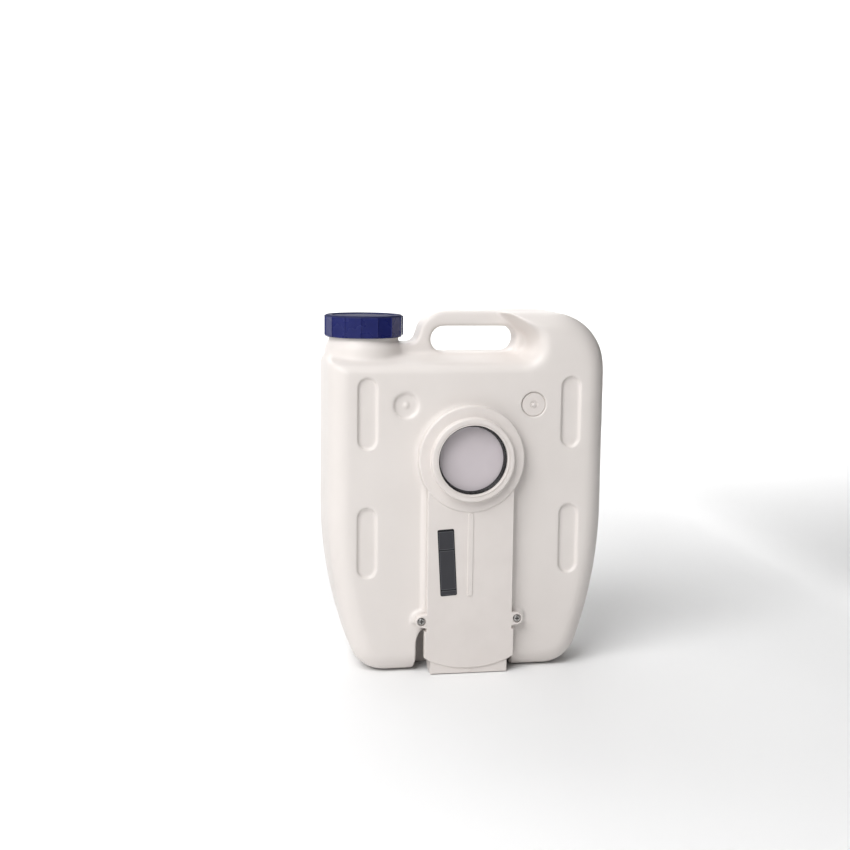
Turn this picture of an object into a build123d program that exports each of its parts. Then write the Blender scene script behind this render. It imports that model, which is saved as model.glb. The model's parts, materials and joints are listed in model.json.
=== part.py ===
from build123d import *
import os
from math import cos, radians, sin, sqrt, tan

# Waste-holding tank of a portable camp toilet, standing on its end as it is carried.
# Millimetres. +Z is up, +X is to the right, -Y is the front face with the slide valve.
# The origin is the middle of the object's box, at the surface that it stands on.

# --- Driving dimensions: moulded tank -----------------------------------------------------
TANK_WIDTH = 336.0
TANK_HEIGHT = 433.5
TANK_DEPTH = 130.0
WALL = 3.0
EDGE_RADIUS = 25.0
VALVE_PROUD = 23.0
FACE_Y = -(TANK_DEPTH - VALVE_PROUD) / 2
HALF_WIDTH = TANK_WIDTH / 2

BOTTOM_CORNER_X = 98.3
BOTTOM_CORNER_RADIUS = 44.0
SIDE_BOW_RADIUS = 530.0
SIDE_BOW_TOP = 200.0
TOP_CORNER_RADIUS = 66.0

# --- Shoulder, scoop and carrying handle --------------------------------------------------
LEDGE_Z = 382.0
SCOOP_DEPTH = 45.0
SCOOP_RADIUS = 14.0
SCOOP_CENTRE_X = 63.0
SCOOP_LEAN = 50.0
SCOOP_DRAFT = 12.5
SCOOP_ROLL = 13.0
ROLL_END = 80.0
ROLL_STEPS = 6
WEB_Z = 395.3
WEB_END_X = -67.0
HANDLE_ROOT = (-56.3, 402.5)
HANDLE_ROOT_RADIUS = 11.6
HANDLE_RISE = (-51.8, 417.0)
HANDLE_TOP_X = -22.0
HANDLE_TOP_RADIUS = 35.2
GRIP_SLOT_LENGTH = 107.0
GRIP_SLOT_HEIGHT = 31.6
GRIP_SLOT_CENTRE = (13.0, 399.8)

# --- Pour-out neck and screw cap ----------------------------------------------------------
NECK_X = -120.0
NECK_Y = FACE_Y + TANK_DEPTH / 2
NECK_RADIUS = 42.0
NECK_TOP = 422.2
NECK_FLARE_RADIUS = 47.6
NECK_FLARE_Z = 382.0
CAP_RADIUS = 48.0
CAP_BOTTOM = 402.3
CAP_TOP = 428.6
CAP_CORE_RADIUS = 46.2
CAP_BORE_RADIUS = 44.8
CAP_FACETS = 15
CAP_TURN = -10.9
GAP = 0.3

# --- Face features ------------------------------------------------------------------------
RECESS_X = 123.0
RECESS_Z = (161.0, 315.5)
RECESS_LENGTH = 86.0
RECESS_WIDTH = 24.0
RECESS_DEPTH = 3.5
RECESS_DRAFT = 25.0
DIMPLE_X = 77.0
DIMPLE_Z = 325.0
DIMPLE_RADIUS = 15.0
DIMPLE_DEPTH = 3.5
NOTCH_LEFT = -62.8
NOTCH_RIGHT = 55.0
NOTCH_TOP = 60.0
NOTCH_DEPTH = 42.0
NOTCH_RADIUS = 24.0
OUTSIDE = 60.0
PAST_FACE = 5.0
OVERLAP = 5.0

# --- Slide valve: levels are heights in front of the tank's face --------------------------
VALVE_Z = 262.0
PEDESTAL_LEVEL = 3.0
PEDESTAL_MARGIN = 3.0
PEDESTAL_SLOPE = 35.0
BASE_LEVEL = 4.0
BASE_TOP = 6.2
BLADE_LEVEL = 6.5
BLADE_TOP = 8.5
CHANNEL_TOP = 8.8
CEILING = 10.8
PLATE_TOP = 12.6
FLANGE_TOP = 14.2
COLLAR_TOP = VALVE_PROUD
FLANGE_RADIUS = 64.0
COLLAR_RADIUS = 50.0
COLLAR_BORE = 44.0
SEAL_RADIUS = 42.0
SEAL_TOP = 16.2
PORT_RADIUS = 46.0
THROAT_RADIUS = 40.0
BLADE_HALF_WIDTH = 46.5
CHANNEL_HALF_WIDTH = 47.0
BLADE_TRAVEL = 85.0
PLATE_HALF_WIDTH = 52.1
PLATE_REACH = 33.0
SKIRT_HALF_WIDTH = 54.5
SKIRT_TOP = 54.0
SKIRT_BOTTOM = 21.5
LIP_HALF_WIDTH = 48.0
LIP_Z = 17.3
LIP_LOWEST = 7.4
EAR_X = 58.5
EAR_Z = 66.5
EAR_RADIUS = 7.2
EAR_FLARE = 2.5
SCREW_RADIUS = 2.0
HEAD_SEAT = 9.6
INSERT_RADIUS = 3.6
INSERT_DEPTH = 9.0
INSERT_SUNK = 0.4
STOP_Z = 100.0
STOP_RADIUS = 2.0

# --- Pull handle --------------------------------------------------------------------------
PULL_HALF_WIDTH = 47.0
PULL_BOTTOM = 1.0
PULL_TOP = 17.0
PULL_FRONT = 10.9
PULL_BACK = -21.0
PULL_WALL = 2.4
TAIL_HALF_WIDTH = 38.0
TAIL_BOTTOM = 5.0
PIN_X = 24.0
PIN_Z = 10.5
PIN_RADIUS = 1.6
PINS = [(-PIN_X, PIN_Z), (PIN_X, PIN_Z)]

# --- Vent button --------------------------------------------------------------------------
VENT_FLANGE_RADIUS = 14.0
VENT_TUBE_RADIUS = 8.8
VENT_HOLE_RADIUS = 9.1
VENT_PIN_RADIUS = 2.5
VENT_BORE_RADIUS = 2.8
VENT_TOP = -1.0
VENT_SEAT = -2.5
VENT_CHAMBER_TOP = -5.0
VENT_CHAMBER_BOTTOM = -14.0
VENT_BOTTOM = -16.0

# --- Label --------------------------------------------------------------------------------
LABEL_WIDTH = 20.0
LABEL_HEIGHT = 80.8
LABEL_CENTRE = (-28.4, 138.1)
LABEL_TILT = 3.4
LABEL_THICKNESS = 0.4
LABEL_CORNER = 1.8


def level(height):
    """Plane parallel to the tank's face, the given height in front of it, facing the front."""
    return Plane.XZ.offset(height - FACE_Y)


def body_profile(inset):
    """Front outline of the tank, with bowed sides that draw in to the rounded bottom corners."""
    bow_centre_x = HALF_WIDTH - SIDE_BOW_RADIUS
    reach_x = BOTTOM_CORNER_X - bow_centre_x
    reach_z = BOTTOM_CORNER_RADIUS - SIDE_BOW_TOP
    reach = sqrt(reach_x**2 + reach_z**2)
    bow_radius = SIDE_BOW_RADIUS - inset
    side = HALF_WIDTH - inset
    top = TANK_HEIGHT - inset
    corner_start = (BOTTOM_CORNER_X, inset)
    bow_start = (
        bow_centre_x + bow_radius * reach_x / reach,
        SIDE_BOW_TOP + bow_radius * reach_z / reach,
    )
    shoulder_start = (side, TANK_HEIGHT - TOP_CORNER_RADIUS)
    shoulder_end = (HALF_WIDTH - TOP_CORNER_RADIUS, top)
    with BuildSketch() as profile:
        with BuildLine():
            Line((0, inset), corner_start)
            RadiusArc(corner_start, bow_start, -(BOTTOM_CORNER_RADIUS - inset))
            RadiusArc(bow_start, (side, SIDE_BOW_TOP), -bow_radius)
            Line((side, SIDE_BOW_TOP), shoulder_start)
            RadiusArc(shoulder_start, shoulder_end, -(TOP_CORNER_RADIUS - inset))
            Line(shoulder_end, (0, top))
            mirror(about=Plane.YZ)
        make_face()
    return profile.sketch


def scoop_profile(grow):
    """Outline of the hollow on each side of the handle, at its foot, open to the left and top."""
    radius = SCOOP_RADIUS + grow
    centre_z = LEDGE_Z + SCOOP_RADIUS
    lean = radians(SCOOP_LEAN)
    leave = (SCOOP_CENTRE_X + radius * cos(lean), centre_z + radius * sin(lean))
    above = TANK_HEIGHT + OUTSIDE
    outside = -HALF_WIDTH - OUTSIDE
    with BuildSketch() as profile:
        with BuildLine():
            Line((outside, LEDGE_Z - grow), (SCOOP_CENTRE_X, LEDGE_Z - grow))
            CenterArc((SCOOP_CENTRE_X, centre_z), radius, -90, 90 + SCOOP_LEAN)
            Polyline(
                leave,
                (leave[0] - (above - leave[1]) * tan(lean), above),
                (outside, above),
                (outside, LEDGE_Z - grow),
            )
        make_face()
    return profile.sketch


def scoop_levels(inset):
    """Depth and growth of the scoop's outline: a drafted wall that rolls over into the face."""
    draft = radians(SCOOP_DRAFT)
    roll_start = SCOOP_ROLL * (1 - sin(draft))
    rim = (SCOOP_DEPTH - roll_start) * tan(draft) + SCOOP_ROLL * cos(draft)
    levels = [(SCOOP_DEPTH + inset, inset / cos(draft) - inset * tan(draft))]
    for step in range(ROLL_STEPS + 1):
        angle = radians(SCOOP_DRAFT + (ROLL_END - SCOOP_DRAFT) * step / ROLL_STEPS)
        depth = SCOOP_ROLL - (SCOOP_ROLL - inset) * sin(angle)
        levels.append((depth, rim - (SCOOP_ROLL - inset) * cos(angle)))
    depth, grow = levels[-1]
    levels.append((-1, grow + (depth + 1) * tan(radians(ROLL_END))))
    return levels


def scoop_form(inset):
    """Cutter for the hollow in front of the handle."""
    with BuildPart() as form:
        for depth, grow in scoop_levels(inset):
            with BuildSketch(level(-depth)):
                add(scoop_profile(grow))
        loft(ruled=True)
    return form.part


def shoulder_profile(grow):
    """What is open above the shoulder: left of the neck, over the web and outside the handle."""
    outside = -HALF_WIDTH - OUTSIDE
    above = TANK_HEIGHT + OUTSIDE
    handle_top = (HANDLE_TOP_X, TANK_HEIGHT)
    with BuildSketch() as profile:
        with BuildLine():
            Polyline((outside, LEDGE_Z), (NECK_X, LEDGE_Z), (NECK_X, WEB_Z), (WEB_END_X, WEB_Z))
            RadiusArc((WEB_END_X, WEB_Z), HANDLE_ROOT, -HANDLE_ROOT_RADIUS)
            Line(HANDLE_ROOT, HANDLE_RISE)
            RadiusArc(HANDLE_RISE, handle_top, HANDLE_TOP_RADIUS)
            Polyline(handle_top, (HANDLE_TOP_X, above), (outside, above), (outside, LEDGE_Z))
        make_face()
        if grow:
            offset(amount=grow)
    return profile.sketch


def grip_slot_profile(grow):
    """Obround hand hole of the carrying handle."""
    with BuildSketch() as profile:
        with Locations(GRIP_SLOT_CENTRE):
            SlotOverall(GRIP_SLOT_LENGTH + 2 * grow, GRIP_SLOT_HEIGHT + 2 * grow)
    return profile.sketch


def notch_profile(grow):
    """Finger notch in the bottom edge, behind the valve's pull handle, with rounded top corners."""
    with BuildSketch() as profile:
        with Locations(((NOTCH_LEFT + NOTCH_RIGHT) / 2, NOTCH_TOP + grow)):
            Rectangle(
                NOTCH_RIGHT - NOTCH_LEFT + 2 * grow,
                2 * NOTCH_TOP,
                align=(Align.CENTER, Align.MAX),
            )
        fillet(profile.vertices().group_by(Axis.Y)[-1], NOTCH_RADIUS + grow)
    return profile.sketch


def tank_form(inset):
    """Form of the moulded body; with an inset, the hollow that lies that far inside its skin."""
    with BuildPart() as form:
        with BuildSketch(level(-TANK_DEPTH + inset)):
            add(body_profile(inset))
        extrude(amount=TANK_DEPTH - 2 * inset)
        ends = form.faces().sort_by(Axis.Y)
        fillet(ends[0].edges() + ends[-1].edges(), EDGE_RADIUS - inset)
        # scoops in front of and behind the handle
        front_scoop = scoop_form(inset)
        add(front_scoop, mode=Mode.SUBTRACT)
        mirror(front_scoop, about=level(-TANK_DEPTH / 2), mode=Mode.SUBTRACT)
        # open space above the shoulder, and the hand hole
        with BuildSketch(level(-TANK_DEPTH - PAST_FACE)):
            add(shoulder_profile(inset))
            add(grip_slot_profile(inset))
        extrude(amount=TANK_DEPTH + 2 * PAST_FACE, mode=Mode.SUBTRACT)
        # finger notch in the bottom edge
        with BuildSketch(level(-NOTCH_DEPTH - inset)):
            add(notch_profile(inset))
        extrude(amount=NOTCH_DEPTH + inset + PAST_FACE, mode=Mode.SUBTRACT)
        # obround recesses on both faces, with sloping walls
        floor_margin = inset - RECESS_DEPTH * tan(radians(RECESS_DRAFT))
        with BuildSketch(level(-RECESS_DEPTH - inset)):
            with Locations(*[(x, z) for x in (-RECESS_X, RECESS_X) for z in RECESS_Z]):
                SlotOverall(
                    RECESS_LENGTH + 2 * floor_margin,
                    RECESS_WIDTH + 2 * floor_margin,
                    rotation=90,
                )
        recesses = extrude(amount=RECESS_DEPTH + 1, taper=-RECESS_DRAFT, mode=Mode.PRIVATE)
        add(recesses, mode=Mode.SUBTRACT)
        mirror(recesses, about=level(-TANK_DEPTH / 2), mode=Mode.SUBTRACT)
        # two round dimples beside the valve
        with BuildSketch(level(-DIMPLE_DEPTH - inset)):
            with Locations((-DIMPLE_X, DIMPLE_Z), (DIMPLE_X, DIMPLE_Z)):
                Circle(DIMPLE_RADIUS + inset)
        extrude(amount=DIMPLE_DEPTH + PAST_FACE, mode=Mode.SUBTRACT)
    return form.part


def plate_profile():
    """Straight part of the valve housing: plate with two screw ears and a wider skirt below."""
    with BuildSketch() as profile:
        with Locations((0, SKIRT_BOTTOM)):
            Rectangle(
                2 * PLATE_HALF_WIDTH,
                VALVE_Z - PLATE_REACH - SKIRT_BOTTOM,
                align=(Align.CENTER, Align.MIN),
            )
            Rectangle(
                2 * SKIRT_HALF_WIDTH,
                SKIRT_TOP - SKIRT_BOTTOM,
                align=(Align.CENTER, Align.MIN),
            )
        for side in (-1, 1):
            with BuildSketch(mode=Mode.PRIVATE) as ear:
                with Locations((side * EAR_X, EAR_Z)):
                    Circle(EAR_RADIUS)
                with Locations((side * (PLATE_HALF_WIDTH - 4), EAR_Z)):
                    Rectangle(2, EAR_FLARE * EAR_RADIUS)
                make_hull()
            add(ear.sketch)
    return profile.sketch


def housing_profile(grow):
    """Whole outline of the valve housing: the plate with its round head."""
    with BuildSketch() as profile:
        add(plate_profile())
        with Locations((0, VALVE_Z)):
            Circle(FLANGE_RADIUS)
        if grow:
            offset(amount=grow)
    return profile.sketch


def lip_profile():
    """Lower end of the cover, with the bowed lip over the top of the pull handle."""
    with BuildSketch() as profile:
        with BuildLine():
            Polyline(
                (LIP_HALF_WIDTH, LIP_Z),
                (SKIRT_HALF_WIDTH, SKIRT_BOTTOM),
                (SKIRT_HALF_WIDTH, SKIRT_TOP),
                (-SKIRT_HALF_WIDTH, SKIRT_TOP),
                (-SKIRT_HALF_WIDTH, SKIRT_BOTTOM),
                (-LIP_HALF_WIDTH, LIP_Z),
            )
            ThreePointArc((-LIP_HALF_WIDTH, LIP_Z), (0, LIP_LOWEST), (LIP_HALF_WIDTH, LIP_Z))
        make_face()
    return profile.sketch


def channel_profile(half_width):
    """Straight channel of the blade with its round upper end around the valve's throat."""
    with BuildSketch() as profile:
        with Locations((0, VALVE_Z)):
            Circle(half_width)
            Rectangle(2 * half_width, VALVE_Z + 10, align=(Align.CENTER, Align.MAX))
    return profile.sketch


def ring(centre, low, high, inner, outer):
    """Plain ring about an axis through the face, from one level to another."""
    with BuildPart() as made:
        with BuildSketch(level(low)):
            with Locations(centre):
                Circle(outer)
                Circle(inner, mode=Mode.SUBTRACT)
        extrude(amount=high - low)
    return made.part


def save(made, name):
    """Label a finished piece and write its file."""
    made.part.label = name
    export_step(made.part, f"parts/{name}.step")


os.makedirs("parts", exist_ok=True)

THROAT = (0, VALVE_Z)
VENT = (DIMPLE_X, DIMPLE_Z)
EARS = [(-EAR_X, EAR_Z), (EAR_X, EAR_Z)]
NECK_PLANE = Plane(origin=(NECK_X, NECK_Y, 0), x_dir=(1, 0, 0), z_dir=(0, -1, 0))
NECK_AXIS = Axis((NECK_X, NECK_Y, 0), (0, 0, 1))
VALVE_PLANE = Plane(origin=(0, FACE_Y, VALVE_Z), x_dir=(1, 0, 0), z_dir=(0, 0, 1))
VALVE_AXIS = Axis((0, FACE_Y, VALVE_Z), (0, -1, 0))
VENT_PLANE = Plane(origin=(DIMPLE_X, FACE_Y, DIMPLE_Z), x_dir=(1, 0, 0), z_dir=(0, 0, 1))
VENT_AXIS = Axis((DIMPLE_X, FACE_Y, DIMPLE_Z), (0, -1, 0))

# --- Tank shell: one blow moulding with handle, neck, port and screw bosses ---------------
NECK_ROOT = LEDGE_Z - 18.0
NECK_STRAIGHT = 398.0
NECK_FLARE_ARC = 25.7
BORE_REACH = 10.0

with BuildPart() as tank_shell:
    add(tank_form(0))
    with BuildSketch(NECK_PLANE):
        with BuildLine():
            Polyline((0, NECK_TOP), (0, NECK_ROOT), (NECK_FLARE_RADIUS, NECK_ROOT))
            Line((NECK_FLARE_RADIUS, NECK_ROOT), (NECK_FLARE_RADIUS, NECK_FLARE_Z))
            RadiusArc((NECK_FLARE_RADIUS, NECK_FLARE_Z), (NECK_RADIUS, NECK_STRAIGHT), -NECK_FLARE_ARC)
            Polyline((NECK_RADIUS, NECK_STRAIGHT), (NECK_RADIUS, NECK_TOP), (0, NECK_TOP))
        make_face()
    revolve(axis=NECK_AXIS)
    # pedestal that carries the valve housing, with a sloping skirt
    with BuildSketch(level(PEDESTAL_LEVEL)):
        add(plate_profile())
        offset(amount=PEDESTAL_MARGIN)
        with Locations(THROAT):
            Circle(FLANGE_RADIUS - 1)
        with Locations((0, NOTCH_TOP + WALL)):
            Rectangle(TANK_WIDTH, TANK_HEIGHT, align=(Align.CENTER, Align.MAX), mode=Mode.SUBTRACT)
    extrude(amount=-PEDESTAL_LEVEL - 1, taper=-PEDESTAL_SLOPE)
    with BuildSketch(level(-1)):
        with Locations(*EARS):
            Circle(EAR_RADIUS)
    extrude(amount=BASE_LEVEL + 1)
    add(tank_form(WALL), mode=Mode.SUBTRACT)
    with BuildSketch(level(-INSERT_DEPTH - WALL)):
        with Locations(*EARS):
            Circle(EAR_RADIUS)
    extrude(amount=INSERT_DEPTH + WALL)
    with BuildSketch(level(-INSERT_DEPTH)):
        with Locations(*EARS):
            Circle(INSERT_RADIUS)
    extrude(amount=INSERT_DEPTH + BASE_LEVEL + 1, mode=Mode.SUBTRACT)
    # neck bore, valve port and the hole of the vent
    with Locations((NECK_X, NECK_Y, NECK_ROOT - BORE_REACH)):
        Cylinder(
            NECK_RADIUS - WALL,
            NECK_TOP,
            align=(Align.CENTER, Align.CENTER, Align.MIN),
            mode=Mode.SUBTRACT,
        )
    with BuildSketch(level(-BORE_REACH)):
        with Locations(THROAT):
            Circle(PORT_RADIUS)
        with Locations(VENT):
            Circle(VENT_HOLE_RADIUS)
    extrude(amount=2 * BORE_REACH, mode=Mode.SUBTRACT)
save(tank_shell, "tank_shell")

# --- Brass inserts moulded into the bosses ------------------------------------------------
with BuildPart() as screw_inserts:
    with BuildSketch(level(-INSERT_DEPTH)):
        with Locations(*EARS):
            Circle(INSERT_RADIUS)
            Circle(SCREW_RADIUS, mode=Mode.SUBTRACT)
    extrude(amount=INSERT_DEPTH + BASE_LEVEL - INSERT_SUNK)
save(screw_inserts, "screw_inserts")

# --- Screw cap: facets between thin upright ribs, recessed top with a raised rim ----------
CAP_PLANE = Plane.XY.offset(CAP_BOTTOM)
CAP_CEILING = 424.8
CAP_RIB_BOTTOM = 404.2
CAP_RIB_TOP = 427.2
CAP_DISH_RADIUS = 38.0
CAP_DISH_DEPTH = 1.4
CAP_DISH_SLOPE = 30.0
CAP_TOP_EDGE = 1.6
CAP_FOOT_EDGE = 0.6
CAP_FACET_RADIUS = 47.4
CAP_RIB_WIDTH = 1.6
CAP_RIB_LENGTH = 3.0
cap_centre = (NECK_X, NECK_Y)

with BuildPart() as screw_cap:
    with BuildSketch(CAP_PLANE):
        with Locations(cap_centre):
            Circle(CAP_CORE_RADIUS)
    extrude(amount=CAP_TOP - CAP_BOTTOM)
    rims = screw_cap.edges().filter_by(GeomType.CIRCLE).sort_by(Axis.Z)
    fillet(rims[-1], CAP_TOP_EDGE)
    chamfer(screw_cap.edges().filter_by(GeomType.CIRCLE).sort_by(Axis.Z)[0], CAP_FOOT_EDGE)
    with BuildSketch(Plane.XY.offset(CAP_RIB_BOTTOM)):
        with Locations(cap_centre):
            RegularPolygon(CAP_FACET_RADIUS, CAP_FACETS, rotation=CAP_TURN - 90)
    extrude(amount=CAP_RIB_TOP - CAP_RIB_BOTTOM)
    with BuildSketch(Plane.XY.offset(CAP_RIB_BOTTOM)):
        with Locations(cap_centre):
            with PolarLocations(CAP_RADIUS - CAP_RIB_LENGTH / 2, CAP_FACETS, start_angle=CAP_TURN - 90):
                SlotOverall(CAP_RIB_LENGTH, CAP_RIB_WIDTH)
    extrude(amount=CAP_RIB_TOP - CAP_RIB_BOTTOM)
    with BuildSketch(Plane.XY.offset(CAP_TOP - CAP_DISH_DEPTH)):
        with Locations(cap_centre):
            Circle(CAP_DISH_RADIUS)
    extrude(amount=PAST_FACE, taper=-CAP_DISH_SLOPE, mode=Mode.SUBTRACT)
    with BuildSketch(Plane.XY.offset(CAP_BOTTOM - 1)):
        with Locations(cap_centre):
            Circle(CAP_BORE_RADIUS)
    extrude(amount=CAP_CEILING - CAP_BOTTOM + 1, mode=Mode.SUBTRACT)
save(screw_cap, "screw_cap")

# --- Flat gasket between the neck's rim and the cap ---------------------------------------
with BuildPart() as cap_gasket:
    with BuildSketch(Plane.XY.offset(NECK_TOP + GAP)):
        with Locations(cap_centre):
            Circle(CAP_BORE_RADIUS - 0.5)
            Circle(NECK_RADIUS - WALL - 1, mode=Mode.SUBTRACT)
    extrude(amount=CAP_CEILING - NECK_TOP - 2 * GAP)
save(cap_gasket, "cap_gasket")

# --- Valve base: the tank-side half of the housing, with rails beside the blade -----------
BASE_BOTTOM_Z = 19.5
LOWER_SEAL_OUTER = 44.5
LOWER_SEAL_FLOOR = 5.0

with BuildPart() as valve_base:
    with BuildSketch(level(BASE_LEVEL)):
        add(housing_profile(0))
    extrude(amount=BASE_TOP - BASE_LEVEL)
    with BuildSketch(level(BASE_LEVEL)):
        with Locations(THROAT):
            Circle(THROAT_RADIUS)
        with Locations(*EARS):
            Circle(SCREW_RADIUS + GAP)
        with Locations((0, STOP_Z)):
            Circle(STOP_RADIUS)
    extrude(amount=BASE_TOP - BASE_LEVEL, mode=Mode.SUBTRACT)
    with BuildSketch(level(LOWER_SEAL_FLOOR)):
        with Locations(THROAT):
            Circle(LOWER_SEAL_OUTER)
    extrude(amount=OVERLAP, mode=Mode.SUBTRACT)
save(valve_base, "valve_base")

# --- Valve cover: plate, round flange, collar, lip and the blade's channel ----------------
RIB_CENTRE = (-0.5, 147.0)
RIB_LENGTH = 102.0
RIB_WIDTH = 7.0
RIB_HEIGHT = 1.0
RIB_SLOPE = 25.0
RELIEF_HALF_WIDTH = 41.0
RELIEF_TOP = 200.0
COVER_EDGE = 1.0
FLANGE_EDGE = 2.5
FLANGE_CROWN = 0.6
COLLAR_FOOT = 1.2
COLLAR_EDGE = 2.2
COUNTERBORE_RADIUS = 5.35
STOP_PAD_RADIUS = 4.5

with BuildPart() as valve_cover:
    with BuildSketch(level(BASE_TOP)):
        add(plate_profile())
    extrude(amount=PLATE_TOP - BASE_TOP)
    with BuildSketch(level(PULL_FRONT + GAP)):
        add(lip_profile())
    extrude(amount=PLATE_TOP - PULL_FRONT - GAP)
    front = valve_cover.faces().filter_by(Axis.Y).sort_by(Axis.Y)[0]
    fillet(front.outer_wire().edges(), COVER_EDGE)
    with BuildSketch(level(PLATE_TOP - 0.5)):
        with Locations(RIB_CENTRE):
            SlotOverall(RIB_LENGTH, RIB_WIDTH, rotation=90)
    extrude(amount=RIB_HEIGHT + 0.5, taper=RIB_SLOPE)
    with BuildSketch(VALVE_PLANE):
        with BuildLine():
            Polyline(
                (SEAL_RADIUS - 2, -BASE_TOP),
                (FLANGE_RADIUS, -BASE_TOP),
                (FLANGE_RADIUS, -FLANGE_TOP + FLANGE_EDGE),
            )
            RadiusArc(
                (FLANGE_RADIUS, -FLANGE_TOP + FLANGE_EDGE),
                (FLANGE_RADIUS - FLANGE_EDGE, -FLANGE_TOP),
                FLANGE_EDGE,
            )
            Line(
                (FLANGE_RADIUS - FLANGE_EDGE, -FLANGE_TOP),
                (COLLAR_RADIUS + COLLAR_FOOT, -FLANGE_TOP - FLANGE_CROWN),
            )
            RadiusArc(
                (COLLAR_RADIUS + COLLAR_FOOT, -FLANGE_TOP - FLANGE_CROWN),
                (COLLAR_RADIUS, -FLANGE_TOP - FLANGE_CROWN - COLLAR_FOOT),
                -COLLAR_FOOT,
            )
            Line(
                (COLLAR_RADIUS, -FLANGE_TOP - FLANGE_CROWN - COLLAR_FOOT),
                (COLLAR_RADIUS, -COLLAR_TOP + COLLAR_EDGE),
            )
            RadiusArc(
                (COLLAR_RADIUS, -COLLAR_TOP + COLLAR_EDGE),
                (COLLAR_RADIUS - COLLAR_EDGE, -COLLAR_TOP),
                COLLAR_EDGE,
            )
            Polyline(
                (COLLAR_RADIUS - COLLAR_EDGE, -COLLAR_TOP),
                (SEAL_RADIUS - 2, -COLLAR_TOP),
                (SEAL_RADIUS - 2, -BASE_TOP),
            )
        make_face()
    revolve(axis=VALVE_AXIS)
    with BuildSketch(level(BASE_TOP)):
        add(channel_profile(CHANNEL_HALF_WIDTH))
    extrude(amount=CHANNEL_TOP - BASE_TOP, mode=Mode.SUBTRACT)
    with BuildSketch(level(CHANNEL_TOP)):
        with Locations((0, BASE_BOTTOM_Z + 3)):
            Rectangle(
                2 * RELIEF_HALF_WIDTH,
                RELIEF_TOP - BASE_BOTTOM_Z,
                align=(Align.CENTER, Align.MIN),
            )
        with Locations((0, STOP_Z)):
            Circle(STOP_PAD_RADIUS, mode=Mode.SUBTRACT)
    extrude(amount=CEILING - CHANNEL_TOP, mode=Mode.SUBTRACT)
    with BuildSketch(level(BASE_TOP)):
        with Locations(THROAT):
            Circle(SEAL_RADIUS)
        with Locations(*EARS):
            Circle(SCREW_RADIUS + GAP)
    extrude(amount=COLLAR_TOP, mode=Mode.SUBTRACT)
    with BuildSketch(level(BASE_TOP)):
        with Locations((0, STOP_Z)):
            Circle(STOP_RADIUS)
    extrude(amount=CEILING - BASE_TOP, mode=Mode.SUBTRACT)
    with BuildSketch(level(HEAD_SEAT)):
        with Locations(*EARS):
            Circle(COUNTERBORE_RADIUS)
    extrude(amount=PLATE_TOP, mode=Mode.SUBTRACT)
    with BuildSketch(level(SEAL_TOP)):
        with Locations(THROAT):
            Circle(COLLAR_BORE)
    extrude(amount=COLLAR_TOP, mode=Mode.SUBTRACT)
save(valve_cover, "valve_cover")

# --- Seals of the valve -------------------------------------------------------------------
GASKET_INNER = PORT_RADIUS + 1.5
GASKET_OUTER = 60.0
RETAINER_BORE = 41.5
RETAINER_TOP = COLLAR_TOP - 0.4
SEAL_LIP_RADIUS = 38.4
SEAL_LIP_THICKNESS = 0.7
SEAL_WAIST_RADIUS = 39.8
SEAL_BEAD_HEIGHT = 3.0
SEAL_BEAD_EDGE = 0.9
SEAL_BEAD_SIDE_RADIUS = 1.6
SEAL_BEAD_TOP_RADIUS = 1.0
RETAINER_EDGE = 0.9

with BuildPart() as base_gasket:
    add(ring(THROAT, PEDESTAL_LEVEL, BASE_LEVEL, GASKET_INNER, GASKET_OUTER))
save(base_gasket, "base_gasket")

with BuildPart() as lower_seal:
    add(ring(THROAT, LOWER_SEAL_FLOOR, BLADE_LEVEL - GAP / 2, THROAT_RADIUS, LOWER_SEAL_OUTER))
save(lower_seal, "lower_seal")

lip_tip = (SEAL_LIP_RADIUS, -CHANNEL_TOP - SEAL_LIP_THICKNESS)
lip_back = (SEAL_LIP_RADIUS + 0.8, lip_tip[1] - 1.9)
bead_foot = (SEAL_WAIST_RADIUS, -SEAL_TOP + SEAL_BEAD_HEIGHT)
bead_side = (SEAL_WAIST_RADIUS - 0.2, -SEAL_TOP + SEAL_BEAD_EDGE)
bead_top = (SEAL_WAIST_RADIUS + 0.8, -SEAL_TOP)
with BuildPart() as lip_seal:
    with BuildSketch(VALVE_PLANE):
        with BuildLine():
            Polyline(
                (SEAL_RADIUS, -SEAL_TOP),
                (SEAL_RADIUS, -CHANNEL_TOP),
                (SEAL_LIP_RADIUS + 0.2, -CHANNEL_TOP),
                lip_tip,
                lip_back,
                bead_foot,
            )
            RadiusArc(bead_foot, bead_side, SEAL_BEAD_SIDE_RADIUS)
            RadiusArc(bead_side, bead_top, SEAL_BEAD_TOP_RADIUS)
            Line(bead_top, (SEAL_RADIUS, -SEAL_TOP))
        make_face()
    revolve(axis=VALVE_AXIS)
save(lip_seal, "lip_seal")

with BuildPart() as seal_retainer:
    add(ring(THROAT, SEAL_TOP, RETAINER_TOP, RETAINER_BORE, COLLAR_BORE))
    fillet(seal_retainer.edges().filter_by(GeomType.CIRCLE).group_by(Axis.Y)[0], RETAINER_EDGE)
save(seal_retainer, "seal_retainer")

# --- Valve blade: round-ended slide with a stop slot and a narrower tail ------------------
BLADE_SHOULDER_Z = 20.5
SLOT_CLEARANCE = 0.6

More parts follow.
